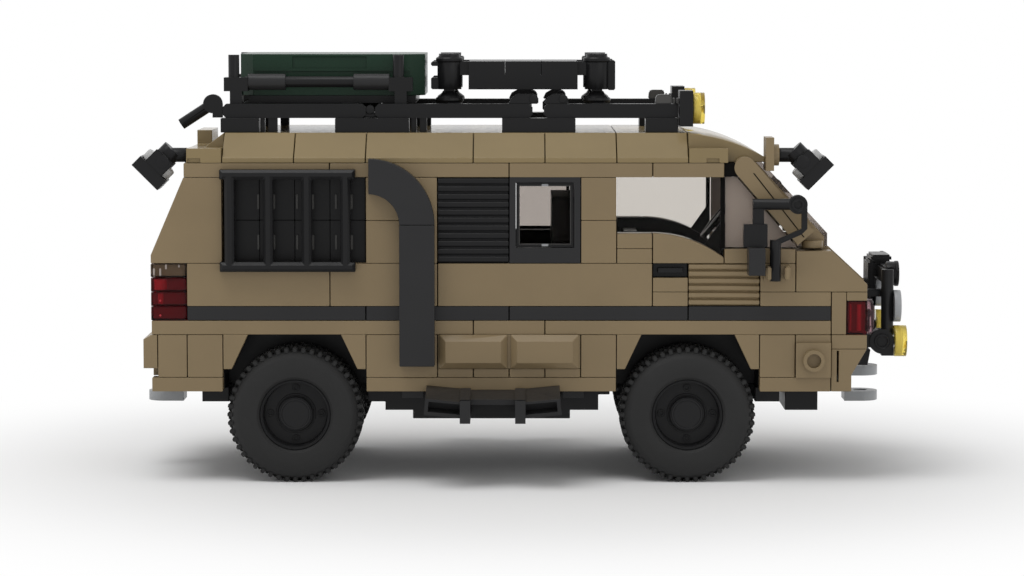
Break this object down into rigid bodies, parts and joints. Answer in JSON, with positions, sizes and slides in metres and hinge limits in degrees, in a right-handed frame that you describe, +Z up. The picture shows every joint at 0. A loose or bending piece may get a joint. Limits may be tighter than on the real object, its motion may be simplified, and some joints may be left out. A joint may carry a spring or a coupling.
{
  "type": "toy camper van",
  "caption": "Brick-built toy camper van with a roof rack, side windows and four wheels that turn freely.",
  "frame": {"origin": "centre of the toy's bounding box, on the ground under its tyres", "axes": "+X forward along the van, +Y to its left, +Z up"},
  "size_m": [0.174, 0.0896, 0.0957],
  "materials": {
    "tan": "moulded dark tan",
    "black": "moulded black",
    "dark_grey": "moulded dark grey",
    "light_grey": "moulded light grey",
    "green": "moulded dark green",
    "rim": "moulded black",
    "tyre": "matt rubber",
    "clear_glass": "clear moulded panes",
    "smoked_glass": "smoked moulded pane",
    "clear_lens": "clear moulded lens",
    "red_lens": "red moulded lens",
    "yellow_lens": "yellow moulded lens"
  },
  "bodies": {
    "van_body": {"air_duct": "dark_grey", "arch_slopes": "tan", "axles": "black", "bonnet": "tan", "bull_bar": "black", "bull_bar_beam": "black", "cab_furniture": "black", "cargo_case": "black", "cargo_crate": "green", "chassis_spine": "black", "clear_lenses": "clear_lens", "crate_cradle": "black", "dashboard": "black", "door_handles": "black", "door_mirror_arms": "black", "door_mirror_heads": "dark_grey", "door_panels": "tan", "filler_tile": "tan", "floor_blocks": "black", "headlamps": "light_grey", "inner_walls": "black", "keel_blocks": "black", "kerb_mirrors": "black", "louvres": "black", "lower_panels": "tan", "mirror_brackets": "tan", "nose_corners": "tan", "nose_front": "black", "rack_rails": "black", "rack_supports": "black", "rear_bumper": "tan", "rear_corners": "tan", "rear_doors": "tan", "red_lenses": "red_lens", "ribbed_panels": "tan", "roof_ends": "tan", "roof_panels": "tan", "side_steps": "dark_grey", "slider_glass": "smoked_glass", "steering_wheel": "black", "storage_boxes": "tan", "stripe_plates": "dark_grey", "tow_plates": "light_grey", "waist_panels": "tan", "wall_panels": "tan", "window_frames": "dark_grey", "window_glass": "clear_glass", "window_guards": "black", "windscreen": "clear_glass", "windscreen_frame": "tan", "yellow_lamps": "yellow_lens"},
    "wheel_rear_right": {"rim_rear_right": "rim", "tyre_rear_right": "tyre"},
    "wheel_rear_left": {"rim_rear_left": "rim", "tyre_rear_left": "tyre"},
    "wheel_front_right": {"rim_front_right": "rim", "tyre_front_right": "tyre"},
    "wheel_front_left": {"rim_front_left": "rim", "tyre_front_left": "tyre"}
  },
  "joints": [
    {"name": "roll_rear_right", "type": "hinge", "parent": "van_body", "child": "wheel_rear_right", "pos_m": [-0.05095, -0.0249, 0.0152], "axis": [0, 1, 0], "continuous": true},
    {"name": "roll_rear_left", "type": "hinge", "parent": "van_body", "child": "wheel_rear_left", "pos_m": [-0.05095, 0.0249, 0.0152], "axis": [0, 1, 0], "continuous": true},
    {"name": "roll_front_right", "type": "hinge", "parent": "van_body", "child": "wheel_front_right", "pos_m": [0.03705, -0.0249, 0.0152], "axis": [0, 1, 0], "continuous": true},
    {"name": "roll_front_left", "type": "hinge", "parent": "van_body", "child": "wheel_front_left", "pos_m": [0.03705, 0.0249, 0.0152], "axis": [0, 1, 0], "continuous": true}
  ]
}
